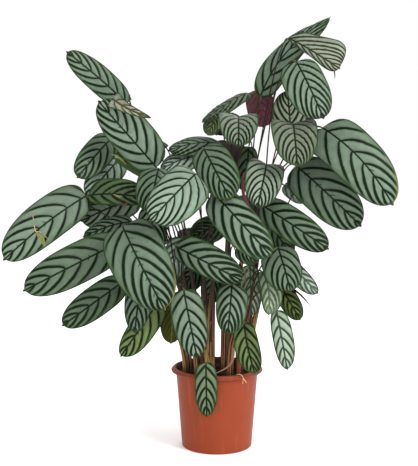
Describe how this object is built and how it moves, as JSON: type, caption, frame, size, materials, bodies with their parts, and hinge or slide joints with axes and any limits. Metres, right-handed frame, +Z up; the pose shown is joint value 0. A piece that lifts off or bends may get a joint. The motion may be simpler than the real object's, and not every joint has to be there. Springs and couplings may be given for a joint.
{
  "type": "potted foliage plant",
  "caption": "Potted upright foliage plant with long-stalked oblong leaves, silvery green with dark stripes, in a plain tapered terracotta-coloured nursery pot.",
  "frame": {"origin": "centre of the pot's underside, on the surface it stands on", "axes": "+Z up; -Y towards the front, the side that the picture shows; +X to the right of it"},
  "size_m": [0.7927, 0.5122, 0.8978],
  "materials": {
    "pot": "satin",
    "soil": "rough crumbs",
    "leaf": "satin"
  },
  "bodies": {
    "root": {"pot": "pot", "soil": "soil", "leafy_stem_01": "leaf", "leafy_stem_02": "leaf", "leafy_stem_03": "leaf", "leafy_stem_04": "leaf", "leafy_stem_05": "leaf", "leafy_stem_06": "leaf", "leafy_stem_07": "leaf", "leafy_stem_08": "leaf", "leafy_stem_09": "leaf", "leafy_stem_10": "leaf", "leafy_stem_11": "leaf", "leafy_stem_12": "leaf", "leafy_stem_13": "leaf", "leafy_stem_14": "leaf", "leafy_stem_15": "leaf", "leafy_stem_16": "leaf", "leafy_stem_17": "leaf", "leafy_stem_18": "leaf"}
  },
  "joints": []
}
